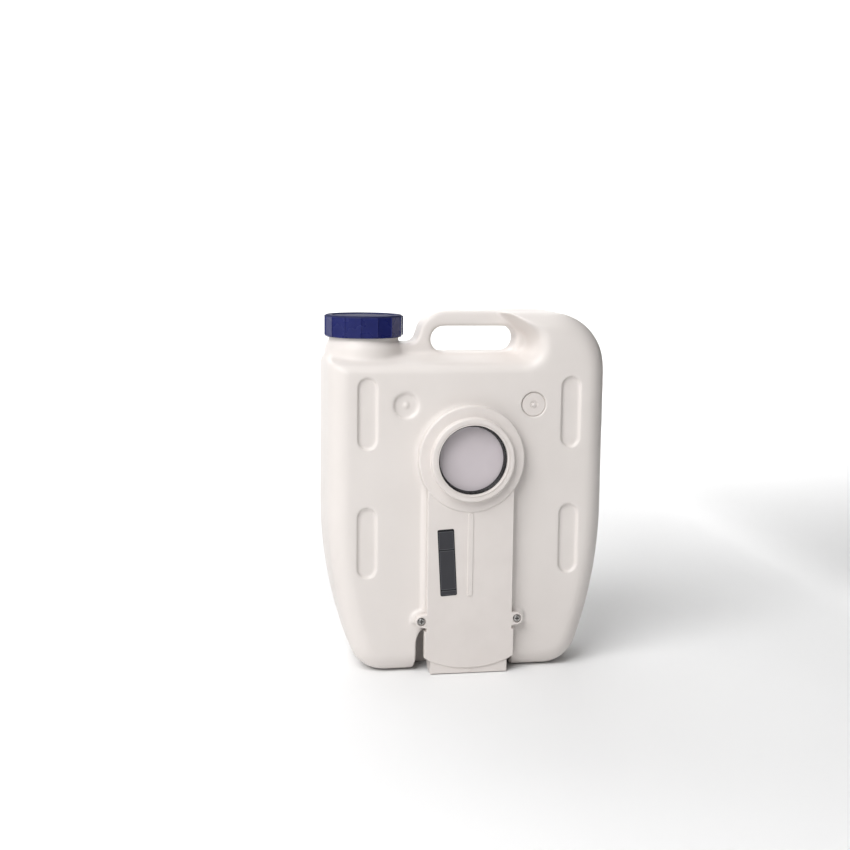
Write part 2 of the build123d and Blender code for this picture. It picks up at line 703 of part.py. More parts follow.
with BuildPart() as valve_blade:
    with BuildSketch(level(BLADE_LEVEL)):
        with Locations((0, VALVE_Z)):
            Circle(BLADE_HALF_WIDTH)
        with Locations((0, BLADE_SHOULDER_Z)):
            Rectangle(
                2 * BLADE_HALF_WIDTH,
                VALVE_Z - BLADE_SHOULDER_Z,
                align=(Align.CENTER, Align.MIN),
            )
        with Locations((0, TAIL_BOTTOM)):
            Rectangle(
                2 * TAIL_HALF_WIDTH,
                BLADE_SHOULDER_Z - TAIL_BOTTOM + OVERLAP,
                align=(Align.CENTER, Align.MIN),
            )
        with Locations((0, STOP_Z + BLADE_TRAVEL / 2)):
            SlotCenterToCenter(
                BLADE_TRAVEL + SLOT_CLEARANCE,
                2 * (STOP_RADIUS + SLOT_CLEARANCE),
                rotation=90,
                mode=Mode.SUBTRACT,
            )
        with Locations(*PINS):
            Circle(PIN_RADIUS, mode=Mode.SUBTRACT)
    extrude(amount=BLADE_TOP - BLADE_LEVEL)
save(valve_blade, "valve_blade")

# --- Steel pin that stops the blade at full opening ---------------------------------------
with BuildPart() as blade_stop:
    with BuildSketch(level(BASE_LEVEL)):
        with Locations((0, STOP_Z)):
            Circle(STOP_RADIUS)
    extrude(amount=CEILING - BASE_LEVEL)
save(blade_stop, "blade_stop")

# --- Pull handle: cupped grip with end walls, open towards the tank -----------------------
PULL_REAR_DROP = 3.0
PULL_FLOOR = 8.0
PULL_FRONT_EDGE = 0.8
BUMP_Z = 4.6
BUMP_RADIUS = 2.2
BUMP_HEIGHT = 0.8
BUMP_SLOPE = 20.0
PIN_LENGTH = PULL_FRONT - BLADE_LEVEL - 1
PIN_HEAD_RADIUS = 2.8
PIN_HEAD_HEIGHT = 1.2
PULL_PLANE = Plane(origin=(-PULL_HALF_WIDTH, FACE_Y, 0), x_dir=(0, -1, 0), z_dir=(-1, 0, 0))


def pull_profile(wall):
    """Side section of the grip: upright front, floor that sweeps up to the rear edge."""
    front = PULL_FRONT - wall
    floor = PULL_BOTTOM + wall
    rear = PULL_BACK + wall
    top = PULL_TOP + (PAST_FACE if wall else 0)
    rear_top = (rear, PULL_TOP - PULL_REAR_DROP)
    floor_end = (front - PULL_FLOOR, floor)
    with BuildSketch() as profile:
        with BuildLine():
            Polyline(rear_top, (rear, top), (front, top), (front, floor), floor_end)
            TangentArc(floor_end, rear_top, tangent=(-1, 0))
        make_face()
    return profile.sketch


with BuildPart() as pull_handle:
    with BuildSketch(PULL_PLANE):
        add(pull_profile(0))
    extrude(amount=-2 * PULL_HALF_WIDTH)
    fillet(pull_handle.faces().sort_by(Axis.Y)[0].edges(), PULL_FRONT_EDGE)
    with BuildSketch(PULL_PLANE.offset(-PULL_WALL)):
        add(pull_profile(PULL_WALL))
    extrude(amount=-2 * (PULL_HALF_WIDTH - PULL_WALL), mode=Mode.SUBTRACT)
    with BuildSketch(level(BLADE_LEVEL)):
        with Locations(*PINS):
            Circle(PIN_RADIUS)
    extrude(amount=PIN_LENGTH, mode=Mode.SUBTRACT)
    with BuildSketch(level(PULL_FRONT)):
        with Locations((0, BUMP_Z)):
            Circle(BUMP_RADIUS)
    extrude(amount=BUMP_HEIGHT, taper=BUMP_SLOPE)
save(pull_handle, "pull_handle")

# --- Two pins that hold the handle on the blade's tail ------------------------------------
with BuildPart() as handle_pins:
    with BuildSketch(level(BLADE_LEVEL)):
        with Locations(*PINS):
            Circle(PIN_RADIUS)
    extrude(amount=PIN_LENGTH)
    with BuildSketch(level(BLADE_LEVEL - PIN_HEAD_HEIGHT)):
        with Locations(*PINS):
            Circle(PIN_HEAD_RADIUS)
    extrude(amount=PIN_HEAD_HEIGHT)
save(handle_pins, "handle_pins")

# --- Pan-head screws in the ears ----------------------------------------------------------
HEAD_RADIUS = 4.1
HEAD_HEIGHT = 2.5
HEAD_EDGE = 1.2
CROSS_ARM = 5.0
CROSS_SLIT = 1.1
CROSS_DEPTH = 1.5
CROSS_SLOPE = 6.0

with BuildPart() as cover_screws:
    with BuildSketch(level(-INSERT_DEPTH + 1)):
        with Locations(*EARS):
            Circle(SCREW_RADIUS)
    extrude(amount=HEAD_SEAT + INSERT_DEPTH - 1)
    with BuildSketch(level(HEAD_SEAT)):
        with Locations(*EARS):
            Circle(HEAD_RADIUS)
    extrude(amount=HEAD_HEIGHT)
    fillet(cover_screws.faces().sort_by(Axis.Y)[:2].edges(), HEAD_EDGE)
    with BuildSketch(level(HEAD_SEAT + HEAD_HEIGHT - CROSS_DEPTH)):
        with Locations(*EARS):
            Rectangle(CROSS_ARM, CROSS_SLIT)
            Rectangle(CROSS_SLIT, CROSS_ARM)
    extrude(amount=PAST_FACE, taper=-CROSS_SLOPE, mode=Mode.SUBTRACT)
save(cover_screws, "cover_screws")

# --- Vent: body, gasket, button pin, spring, seal and clip --------------------------------
VENT_COLLAR_RADIUS = 5.0
VENT_CHAMBER_RADIUS = 6.2
VENT_TIP = 0.9
VENT_TIP_EDGE = 0.9
VENT_TIP_RADIUS = 3.9
VENT_DISH_RADIUS = 5.0
VENT_DISH_DEPTH = 0.6
VENT_DISC_EDGE = 0.5
VENT_COLLAR_THICKNESS = 1.0
VENT_CLIP_MARGIN = 2.0
VENT_SEAL_TOP = VENT_BOTTOM - GAP
VENT_SEAL_BOTTOM = VENT_SEAL_TOP - 2.0
VENT_CLIP_THICKNESS = 0.8
VENT_PIN_END = VENT_SEAL_BOTTOM - VENT_CLIP_THICKNESS - 1.0
SPRING_RADIUS = 4.2
SPRING_WIRE = 0.35
SPRING_TURNS = 5

with BuildPart() as vent_gasket:
    add(ring(VENT, -DIMPLE_DEPTH, VENT_SEAT, VENT_HOLE_RADIUS, VENT_FLANGE_RADIUS - 1))
save(vent_gasket, "vent_gasket")

with BuildPart() as vent_body:
    with BuildSketch(VENT_PLANE):
        with BuildLine():
            Polyline(
                (VENT_BORE_RADIUS, -VENT_TOP + VENT_DISH_DEPTH),
                (VENT_BORE_RADIUS, -VENT_CHAMBER_TOP),
                (VENT_CHAMBER_RADIUS, -VENT_CHAMBER_TOP),
                (VENT_CHAMBER_RADIUS, -VENT_CHAMBER_BOTTOM),
                (VENT_BORE_RADIUS, -VENT_CHAMBER_BOTTOM),
                (VENT_BORE_RADIUS, -VENT_BOTTOM),
                (VENT_TUBE_RADIUS, -VENT_BOTTOM),
                (VENT_TUBE_RADIUS, -VENT_SEAT),
                (VENT_FLANGE_RADIUS, -VENT_SEAT),
                (VENT_FLANGE_RADIUS, -VENT_TOP + VENT_DISC_EDGE),
                (VENT_FLANGE_RADIUS - VENT_DISC_EDGE, -VENT_TOP),
                (VENT_DISH_RADIUS, -VENT_TOP),
                (VENT_DISH_RADIUS - VENT_DISH_DEPTH, -VENT_TOP + VENT_DISH_DEPTH),
                (VENT_BORE_RADIUS, -VENT_TOP + VENT_DISH_DEPTH),
            )
        make_face()
    revolve(axis=VENT_AXIS)
save(vent_body, "vent_body")

with BuildPart() as vent_pin:
    collar_top = -VENT_CHAMBER_TOP + GAP
    collar_bottom = collar_top + VENT_COLLAR_THICKNESS
    with BuildSketch(VENT_PLANE):
        with BuildLine():
            tip_edge = (VENT_PIN_RADIUS, -VENT_TIP + VENT_TIP_EDGE)
            RadiusArc((0, -VENT_TIP), tip_edge, VENT_TIP_RADIUS)
            Polyline(
                tip_edge,
                (VENT_PIN_RADIUS, collar_top),
                (VENT_COLLAR_RADIUS, collar_top),
                (VENT_COLLAR_RADIUS, collar_bottom),
                (VENT_PIN_RADIUS, collar_bottom),
                (VENT_PIN_RADIUS, -VENT_PIN_END),
                (0, -VENT_PIN_END),
                (0, -VENT_TIP),
            )
        make_face()
    revolve(axis=VENT_AXIS)
save(vent_pin, "vent_pin")

spring_seat = SPRING_WIRE + 0.1
spring_top = VENT_CHAMBER_TOP - GAP - VENT_COLLAR_THICKNESS - spring_seat
spring_height = spring_top - VENT_CHAMBER_BOTTOM - spring_seat
spring_foot = (DIMPLE_X, FACE_Y - spring_top + spring_height, DIMPLE_Z)
with BuildPart() as vent_spring:
    with BuildLine():
        coil = Helix(
            spring_height / SPRING_TURNS,
            spring_height,
            SPRING_RADIUS,
            center=spring_foot,
            direction=(0, -1, 0),
        )
    with BuildSketch(Plane(origin=coil @ 0, z_dir=coil % 0)):
        Circle(SPRING_WIRE)
    sweep(path=coil, is_frenet=True)
save(vent_spring, "vent_spring")

with BuildPart() as vent_seal:
    add(ring(VENT, VENT_SEAL_BOTTOM, VENT_SEAL_TOP, VENT_PIN_RADIUS, VENT_TUBE_RADIUS - 1))
save(vent_seal, "vent_seal")

with BuildPart() as vent_clip:
    clip_bottom = VENT_SEAL_BOTTOM - VENT_CLIP_THICKNESS
    add(ring(VENT, clip_bottom, VENT_SEAL_BOTTOM, VENT_PIN_RADIUS, VENT_PIN_RADIUS + VENT_CLIP_MARGIN))
save(vent_clip, "vent_clip")

# --- Label plate on the cover, blank ------------------------------------------------------
with BuildPart() as label_plate:
    with BuildSketch(level(PLATE_TOP)):
        with Locations(Location((*LABEL_CENTRE, 0), (0, 0, LABEL_TILT))):
            RectangleRounded(LABEL_WIDTH, LABEL_HEIGHT, LABEL_CORNER)
    extrude(amount=LABEL_THICKNESS)
save(label_plate, "label_plate")
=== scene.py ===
import bmesh
import bpy
import json
import numpy as np
from math import cos, pi, radians, sin
from mathutils import Matrix, Vector


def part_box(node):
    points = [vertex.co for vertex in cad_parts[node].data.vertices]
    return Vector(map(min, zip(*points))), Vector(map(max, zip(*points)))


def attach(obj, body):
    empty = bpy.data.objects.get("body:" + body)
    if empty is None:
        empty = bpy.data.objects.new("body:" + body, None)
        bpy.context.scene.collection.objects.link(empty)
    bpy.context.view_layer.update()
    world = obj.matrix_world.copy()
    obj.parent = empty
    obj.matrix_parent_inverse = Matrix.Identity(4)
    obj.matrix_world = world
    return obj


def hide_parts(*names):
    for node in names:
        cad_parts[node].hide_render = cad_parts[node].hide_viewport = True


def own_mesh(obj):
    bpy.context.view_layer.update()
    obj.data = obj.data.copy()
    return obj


# Waste-holding tank of a portable camp toilet, standing on its end.
# Metres, in the frame's axes: +Z up, +X right, -Y towards the front face with the slide valve.

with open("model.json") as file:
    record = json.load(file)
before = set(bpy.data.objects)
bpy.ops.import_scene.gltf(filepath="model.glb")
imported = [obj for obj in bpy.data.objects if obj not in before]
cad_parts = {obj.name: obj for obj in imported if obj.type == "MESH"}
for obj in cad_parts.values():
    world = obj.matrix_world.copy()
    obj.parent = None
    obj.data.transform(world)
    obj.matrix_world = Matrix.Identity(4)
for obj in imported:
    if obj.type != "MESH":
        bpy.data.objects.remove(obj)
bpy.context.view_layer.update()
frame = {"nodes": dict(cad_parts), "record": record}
scene = bpy.context.scene

# --- Camera -----------------------------------------------------------------------------
CAMERA_PLACE = Vector((-0.3334, -1.6273, 0.5218))
CAMERA_AIM = Vector((-0.05485, -0.0535, 0.30204))
CAMERA_ROLL = radians(0.64)
CAMERA_LENS = 57.97
CAMERA_SENSOR = 36.0


def make_camera():
    """Main viewpoint, a little left of the front face and above the handle."""
    camera = bpy.data.objects.new("camera", bpy.data.cameras.new("camera"))
    scene.collection.objects.link(camera)
    camera.data.lens = CAMERA_LENS
    camera.data.sensor_width = CAMERA_SENSOR
    camera.data.clip_start = 0.05
    camera.data.clip_end = 50.0
    turn = (CAMERA_AIM - CAMERA_PLACE).to_track_quat("-Z", "Y").to_matrix()
    turn = turn @ Matrix.Rotation(CAMERA_ROLL, 3, "Z")
    camera.matrix_world = Matrix.Translation(CAMERA_PLACE) @ turn.to_4x4()
    scene.camera = camera


make_camera()

# --- Places taken from the frame ----------------------------------------------------------
cap_low, cap_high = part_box("screw_cap")
vent_low, vent_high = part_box("vent_body")
label_low, label_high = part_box("label_plate")
tank_low, tank_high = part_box("tank_shell")
seal_low, seal_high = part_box("lip_seal")
NECK_X = (cap_low.x + cap_high.x) / 2
NECK_Y = (cap_low.y + cap_high.y) / 2
VALVE_Z = (seal_low.z + seal_high.z) / 2
VENT_X = (vent_low.x + vent_high.x) / 2
VENT_Z = (vent_low.z + vent_high.z) / 2
VENT_RECESS = 0.0025
FACE_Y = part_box("vent_gasket")[0].y - VENT_RECESS
GASKET_GAP = 0.0003
NECK_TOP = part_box("cap_gasket")[0].z - GASKET_GAP
SCREW_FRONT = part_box("cover_screws")[0].y
MM = 0.001


# --- Node helpers -------------------------------------------------------------------------
class Paint:
    """A material and short calls that add nodes to it."""

    def __init__(self, name, **sockets):
        self.material = bpy.data.materials.new(name)
        self.material.use_nodes = True
        self.tree = self.material.node_tree
        self.shader = self.tree.nodes["Principled BSDF"]
        self.point = self.add("ShaderNodeTexCoord").outputs["Object"]
        for socket, value in sockets.items():
            self.shader.inputs[socket.replace("_", " ")].default_value = value

    def add(self, kind, **settings):
        node = self.tree.nodes.new(kind)
        for name, value in settings.items():
            setattr(node, name, value)
        return node

    def plug(self, socket, value):
        """Links an output, or sets a plain value."""
        if isinstance(value, bpy.types.NodeSocket):
            self.tree.links.new(value, socket)
        else:
            socket.default_value = value

    def math(self, operation, a, b=0.0, c=0.0):
        node = self.add("ShaderNodeMath", operation=operation)
        for socket, value in zip(node.inputs, (a, b, c)):
            self.plug(socket, value)
        return node.outputs[0]

    def noise(self, scale, detail=2.0, roughness=0.5, point=None):
        node = self.add("ShaderNodeTexNoise")
        node.inputs["Scale"].default_value = scale
        node.inputs["Detail"].default_value = detail
        node.inputs["Roughness"].default_value = roughness
        self.tree.links.new(point or self.point, node.inputs["Vector"])
        return node.outputs["Fac"]

    def stretched(self, scale):
        """The object's point with each axis multiplied, for streaks and scratches."""
        node = self.add("ShaderNodeMapping")
        node.inputs["Scale"].default_value = scale
        self.tree.links.new(self.point, node.inputs["Vector"])
        return node.outputs["Vector"]

    def remap(self, value, low, high, to_low=0.0, to_high=1.0):
        node = self.add("ShaderNodeMapRange")
        self.plug(node.inputs["Value"], value)
        ends = {"From Min": low, "From Max": high, "To Min": to_low, "To Max": to_high}
        for name, number in ends.items():
            node.inputs[name].default_value = number
        return node.outputs["Result"]

    def blend(self, factor, a, b):
        node = self.add("ShaderNodeMix", data_type="RGBA")
        self.plug(node.inputs[0], factor)
        self.plug(node.inputs[6], a)
        self.plug(node.inputs[7], b)
        return node.outputs[2]

    def bump(self, height, distance, strength=1.0, normal=None):
        node = self.add("ShaderNodeBump")
        node.inputs["Strength"].default_value = strength
        node.inputs["Distance"].default_value = distance
        self.tree.links.new(height, node.inputs["Height"])
        if normal:
            self.tree.links.new(normal, node.inputs["Normal"])
        return node.outputs["Normal"]

    def axis(self, name):
        node = self.add("ShaderNodeSeparateXYZ")
        self.tree.links.new(self.point, node.inputs[0])
        return node.outputs[name]

    def finish(self, colour=None, roughness=None, normal=None):
        if colour is not None:
            self.plug(self.shader.inputs["Base Color"], colour)
        if roughness is not None:
            self.plug(self.shader.inputs["Roughness"], roughness)
        if normal is not None:
            self.plug(self.shader.inputs["Normal"], normal)
        return self.material


# --- Materials ------------------------------------------------------------------------------
WARM_WHITE = (0.75, 0.705, 0.675, 1)
WARM_WHITE_DULL = (0.725, 0.68, 0.65, 1)
SCUFF = (0.60, 0.55, 0.52, 1)


def tank_plastic():
    """Blow-moulded polyethylene: soft sheen, faint ripples, fine mould grain, light scuffs low down."""
    paint = Paint("tank_plastic")
    tone = paint.remap(paint.noise(9.0, 3.0), 0.35, 0.65)
    colour = paint.blend(tone, WARM_WHITE, WARM_WHITE_DULL)
    low_down = paint.remap(paint.axis("Z"), 0.0, 0.05, 1.0, 0.0)
    marks = paint.remap(paint.noise(1.0, 5.0, 0.7, paint.stretched((60, 60, 420))), 0.60, 0.72)
    scuffed = paint.math("MULTIPLY", paint.math("MULTIPLY", marks, low_down), 0.5)
    colour = paint.blend(scuffed, colour, SCUFF)
    gloss = paint.remap(paint.noise(35.0, 4.0), 0.3, 0.7, 0.40, 0.52)
    ripple = paint.bump(paint.noise(22.0, 1.0), 0.0006, 0.5)
    grain = paint.bump(paint.noise(1400.0, 2.0), 0.00005, 0.6, ripple)
    return paint.finish(colour, gloss, grain)


def housing_plastic():
    """Injection-moulded cover: flatter, finer grain and slightly cooler white."""
    paint = Paint("housing_plastic")
    tone = paint.remap(paint.noise(30.0, 3.0), 0.35, 0.65)
    colour = paint.blend(tone, (0.74, 0.69, 0.66, 1), (0.715, 0.665, 0.635, 1))
    gloss = paint.remap(paint.noise(90.0, 4.0), 0.3, 0.7, 0.34, 0.44)
    grain = paint.bump(paint.noise(2200.0, 2.0), 0.00003, 0.5)
    return paint.finish(colour, gloss, grain)


# band below the cap's top where its rougher finish and its painted shade fade in
CROWN_SHADE_FADE_LOW = 2.6 * MM
CROWN_SHADE_FADE_HIGH = 1.4 * MM


def cap_plastic():
    """Deep blue glossy plastic with faint flow lines, handling marks and painted shade darkening its
    top.
    """
    paint = Paint("cap_plastic", Specular_IOR_Level=0.4)
    tone = paint.remap(paint.noise(45.0, 3.0), 0.3, 0.7)
    colour = paint.blend(tone, (0.008, 0.012, 0.095, 1), (0.012, 0.017, 0.120, 1))
    wear = paint.remap(paint.noise(1.0, 3.0, 0.5, paint.stretched((60, 60, 25))), 0.55, 0.80)
    colour = paint.blend(paint.math("MULTIPLY", wear, 0.12), colour, (0.05, 0.06, 0.24, 1))
    gloss = paint.remap(paint.noise(40.0, 3.0), 0.3, 0.7, 0.24, 0.30)
    crown_shade_and_matte = paint.remap(paint.axis("Z"), cap_high.z - CROWN_SHADE_FADE_LOW, cap_high.z - CROWN_SHADE_FADE_HIGH)
    gloss = paint.math("MULTIPLY_ADD", crown_shade_and_matte, 0.45, gloss)
    # painted shade: the cap's top is blended towards near-black
    colour = paint.blend(paint.math("MULTIPLY", crown_shade_and_matte, 0.6), colour, (0.006, 0.008, 0.035, 1))
    grain = paint.bump(paint.noise(900.0, 3.0), 0.00002, 0.3)
    return paint.finish(colour, gloss, grain)


def blade_plastic():
    """Grey slide, lightly brushed along its travel by the seals."""
    paint = Paint("blade_plastic")
    tone = paint.remap(paint.noise(25.0, 3.0), 0.3, 0.7)
    colour = paint.blend(tone, (0.61, 0.56, 0.585, 1), (0.57, 0.52, 0.545, 1))
    rub = paint.noise(1.0, 4.0, 0.6, paint.stretched((900, 900, 25)))
    gloss = paint.remap(rub, 0.3, 0.7, 0.30, 0.45)
    grain = paint.bump(rub, 0.00003, 0.4)
    return paint.finish(colour, gloss, grain)


def vent_plastic():
    """Small bright moulding of the vent, a little glossier than the tank."""
    paint = Paint("vent_plastic")
    tone = paint.remap(paint.noise(120.0, 3.0), 0.35, 0.65)
    colour = paint.blend(tone, (0.80, 0.745, 0.72, 1), (0.75, 0.695, 0.67, 1))
    gloss = paint.remap(paint.noise(300.0, 3.0), 0.3, 0.7, 0.26, 0.38)
    grain = paint.bump(paint.noise(2600.0, 2.0), 0.00002, 0.5)
    return paint.finish(colour, gloss, grain)


def rubber():
    """Black rubber with a satin skin and dust in its pores."""
    paint = Paint("rubber")
    dust = paint.remap(paint.noise(700.0, 5.0, 0.7), 0.58, 0.75)
    dusty = paint.math("MULTIPLY", dust, 0.35)
    colour = paint.blend(dusty, (0.010, 0.010, 0.011, 1), (0.06, 0.058, 0.055, 1))
    gloss = paint.remap(paint.noise(260.0, 4.0), 0.3, 0.7, 0.20, 0.34)
    grain = paint.bump(paint.noise(1800.0, 3.0), 0.00002, 0.4)
    return paint.finish(colour, gloss, grain)


DRIVE_SHADE_START = 0.3 * MM
DRIVE_SHADE_END = 0.9 * MM


def metal(name, bright, dull, low, high):
    """Turned metal with fine rings of wear, a duller bloom and painted shade in the sunk screw drives.
    """
    paint = Paint(name, Metallic=1.0)
    bloom = paint.remap(paint.noise(420.0, 4.0, 0.6), 0.4, 0.7)
    colour = paint.blend(bloom, bright, dull)
    turned = paint.noise(1.0, 3.0, 0.6, paint.stretched((2600, 400, 2600)))
    gloss = paint.remap(turned, 0.3, 0.7, low, high)
    drive_start = SCREW_FRONT + DRIVE_SHADE_START
    drive_end = SCREW_FRONT + DRIVE_SHADE_END
    # painted shade: metal further back than the screw heads' front face is darkened, filling the drives
    sunk_drive_shade = paint.remap(paint.axis("Y"), drive_start, drive_end, 0.0, 0.85)
    colour = paint.blend(sunk_drive_shade, colour, (0.03, 0.028, 0.027, 1))
    return paint.finish(colour, gloss, paint.bump(turned, 0.00003, 0.4))


LABEL_TILT = radians(3.4)
# centre and half height of each panel, in millimetres along the label
LABEL_PANELS = ((26.9, 10.6), (-9.1, 23.4), (-36.8, 2.3))
PANEL_HALF_WIDTH = 8.6 * MM


def label_print():
    """Dark printed foil with framed blank panels, set square to the tilted label."""
    paint = Paint("label", Specular_IOR_Level=0.25)
    fibre = paint.noise(1500.0, 3.0)
    across = paint.math("SUBTRACT", paint.axis("X"), (label_low.x + label_high.x) / 2)
    upward = paint.math("SUBTRACT", paint.axis("Z"), (label_low.z + label_high.z) / 2)
    turned_x = paint.math("MULTIPLY", across, cos(LABEL_TILT))
    turned_x = paint.math("MULTIPLY_ADD", upward, sin(LABEL_TILT), turned_x)
    turned_z = paint.math("MULTIPLY", upward, cos(LABEL_TILT))
    turned_z = paint.math("MULTIPLY_ADD", across, -sin(LABEL_TILT), turned_z)
    outside_x = paint.math("SUBTRACT", paint.math("ABSOLUTE", turned_x), PANEL_HALF_WIDTH)
    colour = paint.blend(fibre, (0.006, 0.006, 0.008, 1), (0.010, 0.010, 0.012, 1))
    for centre, half in LABEL_PANELS:
        offset = paint.math("ABSOLUTE", paint.math("SUBTRACT", turned_z, centre * MM))
        edge = paint.math("MAXIMUM", outside_x, paint.math("SUBTRACT", offset, half * MM))
        inside = paint.remap(edge, 0.05 * MM, -0.05 * MM)
        colour = paint.blend(inside, colour, (0.042, 0.042, 0.048, 1))
        line = paint.remap(paint.math("ABSOLUTE", edge), 0.30 * MM, 0.20 * MM)
        colour = paint.blend(line, colour, (0.11, 0.11, 0.12, 1))
    gloss = paint.remap(paint.noise(200.0, 3.0), 0.3, 0.7, 0.38, 0.48)
    return paint.finish(colour, gloss, paint.bump(fibre, 0.00001, 0.4))


FINISHES = {
    "tank_plastic": tank_plastic(),
    "housing_plastic": housing_plastic(),
    "cap_plastic": cap_plastic(),
    "blade_plastic": blade_plastic(),
    "vent_plastic": vent_plastic(),
    "rubber": rubber(),
    "steel": metal("steel", (0.52, 0.51, 0.50, 1), (0.30, 0.295, 0.29, 1), 0.22, 0.38),
    "brass": metal("brass", (0.72, 0.50, 0.20, 1), (0.50, 0.34, 0.14, 1), 0.28, 0.45),
    "label": label_print(),
}


def dress_cad_nodes():
    """Gives each CAD node that stays in view the detailed finish of its record slot."""
    for part in frame["record"]["subparts"]:
        node = frame["nodes"][part["node"]]
        node.material_slots[0].material = FINISHES[part["material_slot"]]


# --- Mesh helpers ---------------------------------------------------------------------------
def add_piece(name, mesh, body, finish):
    """Links a finished mesh as a piece that rides on a body and takes its slot's finish."""
    piece = bpy.data.objects.new(name, mesh)
    scene.collection.objects.link(piece)
    mesh.materials.clear()
    mesh.materials.append(FINISHES[finish])
    mesh.shade_smooth()
    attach(piece, body)
    return piece


def applied(mesh, kind, **settings):
    """The mesh after one modifier."""
    carrier = bpy.data.objects.new("carrier", mesh)
    scene.collection.objects.link(carrier)
    modifier = carrier.modifiers.new("step", kind)
    for name, value in settings.items():
        setattr(modifier, name, value)
    graph = bpy.context.evaluated_depsgraph_get()
    result = bpy.data.meshes.new_from_object(carrier.evaluated_get(graph))
    bpy.data.objects.remove(carrier)
    bpy.data.meshes.remove(mesh)
    return result


def read_points(mesh):
    points = np.empty(len(mesh.vertices) * 3)
    mesh.vertices.foreach_get("co", points)
    return points.reshape(-1, 3)


def write_points(mesh, points):
    mesh.vertices.foreach_set("co", points.astype(np.float32).ravel())
    mesh.update()


def relax(points, edges, factor, rounds):
    """Moves every point towards its neighbours' middle by its own factor, again and again."""
    count = len(points)
    first, second = edges[:, 0], edges[:, 1]
    degree = np.maximum(np.bincount(edges.ravel(), minlength=count), 1)
    for _ in range(rounds):
        for axis in range(3):
            line = points[:, axis]
            total = np.bincount(first, line[second], count) + np.bincount(second, line[first], count)
            points[:, axis] = line + factor * (total / degree - line)
    return points


def bell(value, centre, half, soft):
    """1 within half of the centre, easing to 0 over the soft distance beyond."""
    reach = np.clip((half + soft - np.abs(value - centre)) / soft, 0, 1)
    return reach * reach * (3 - 2 * reach)


# --- Tank: the CAD shell, softened as a blow moulding is -------------------------------------
VOXEL = 0.0013
RELAX_ROUNDS = 40
TANK_TRIANGLES = 195000
SEAM_HEIGHT = 0.30 * MM
KNOB_HEIGHT = 1.4 * MM
KNOB_RADIUS = 1.4 * MM
KNOB_SLOPE = 3.4 * MM
NOTCH_LEFT = -62.8 * MM
NOTCH_RIGHT = 55.0 * MM
# edge rounding widths
PLAIN_BLUR = 1.2 * MM
UPPER_BLUR = 3.4 * MM
HANDLE_FOOT_BLUR = 4.8 * MM
PEDESTAL_BLUR = 2.8 * MM
NOTCH_BLUR = 3.2 * MM
NECK_BLUR = 0.8 * MM
DIMPLE_BLUR = 1.3 * MM
VENT_SHARPNESS = 0.5
MOST_BLUR_FACTOR = 0.9


def blur_widths(points):
    """How far, in metres, the mould's edges are rounded at each point."""
    x, y, z = points.T
    width = np.full(len(points), PLAIN_BLUR)
    upper = bell(z, 0.45, 0.072, 0.012)
    width = np.maximum(width, UPPER_BLUR * upper)
    foot = bell(z, 0.378, 0.008, 0.012)
    width = np.maximum(width, HANDLE_FOOT_BLUR * foot)
    skirt = bell(y, FACE_Y - 1.0 * MM, 2.4 * MM, 1.5 * MM)
    halo = bell(np.hypot(x, z - VALVE_Z), 66 * MM, 4 * MM, 4 * MM)
    halo = np.maximum(halo, bell(x, 0.0, 57 * MM, 3 * MM) * bell(z, 0.150, 72 * MM, 6 * MM))
    width = np.maximum(width, PEDESTAL_BLUR * skirt * halo)
    notch_side = np.minimum(np.abs(x - NOTCH_LEFT), np.abs(x - NOTCH_RIGHT))
    notch_foot = bell(z, 0.0, 9 * MM, 8 * MM) * bell(notch_side, 0.0, 7 * MM, 6 * MM)
    width = np.maximum(width, NOTCH_BLUR * notch_foot * bell(y, FACE_Y, 0.030, 0.010))
    neck = np.hypot(x - NECK_X, y - NECK_Y)
    neck_wall = bell(neck, 0.0, 0.0445, 0.004) * bell(z, 0.45, 0.052, 0.010)
    width = width * (1 - neck_wall) + NECK_BLUR * neck_wall
    face = bell(y, FACE_Y, 0.006, 0.004)
    left_dimple = bell(np.hypot(x + VENT_X, z - VENT_Z), 0.0, 0.019, 0.005) * face
    width = width + DIMPLE_BLUR * left_dimple
    vent = bell(np.hypot(x - VENT_X, z - VENT_Z), 0.0, 0.017, 0.004) * face
    return width * (1 - VENT_SHARPNESS * vent)


def raise_details(mesh, points):
    """Adds the small knob in the left dimple and the faint parting line round the moulding."""
    x, y, z = points.T
    normals = np.empty(len(points) * 3)
    mesh.vertices.foreach_get("normal", normals)
    normals = normals.reshape(-1, 3)
    distance = np.hypot(x + VENT_X, z - VENT_Z)
    knob = bell(distance, 0.0, KNOB_RADIUS, KNOB_SLOPE)
    knob = knob * (y < FACE_Y + 5 * MM) * (normals[:, 1] < 0)
    centre = (tank_low + tank_high) / 2
    outward = normals[:, 0] * (x - centre.x) + normals[:, 2] * (z - centre.z)
    rim = (np.abs(x) > 0.090) | (z < 0.030) | (z > 0.425)
    outer = (outward > 0) * (np.abs(normals[:, 1]) < 0.5) * rim
    clear = np.hypot(x - NECK_X, y - NECK_Y) > 0.055
    seam = bell(y, NECK_Y, 0.5 * MM, 1.2 * MM) * outer * (clear | (z < 0.35))
    points += normals * (SEAM_HEIGHT * seam)[:, None]
    points[:, 1] -= KNOB_HEIGHT * knob
    return points


